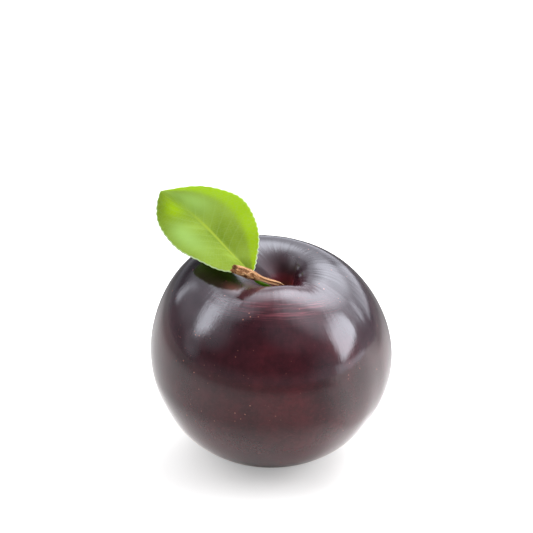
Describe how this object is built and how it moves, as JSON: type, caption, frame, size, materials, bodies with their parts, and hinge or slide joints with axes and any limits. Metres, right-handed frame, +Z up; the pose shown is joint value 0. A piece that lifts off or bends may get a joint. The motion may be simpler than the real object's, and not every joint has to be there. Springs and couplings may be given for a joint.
{
  "type": "plum",
  "caption": "Ripe dark plum with a deep stalk cavity, a woody stalk and a serrated green leaf, resting on a small flat spot.",
  "frame": {"origin": "middle of the small flat spot that the fruit rests on", "axes": "+Z up through the fruit towards the stalk cavity, -Y towards the side with the suture furrow on its right, the leaf leaning towards -X"},
  "size_m": [0.064, 0.064, 0.0677],
  "materials": {
    "skin": "glossy, waxy, dark red-purple plum skin",
    "stalk": "dry, ridged, brown bark",
    "leaf": "thin, satin, fresh green leaf blade"
  },
  "bodies": {
    "root": {"fruit": "skin", "stem": "stalk", "leaf": "leaf"}
  },
  "joints": []
}
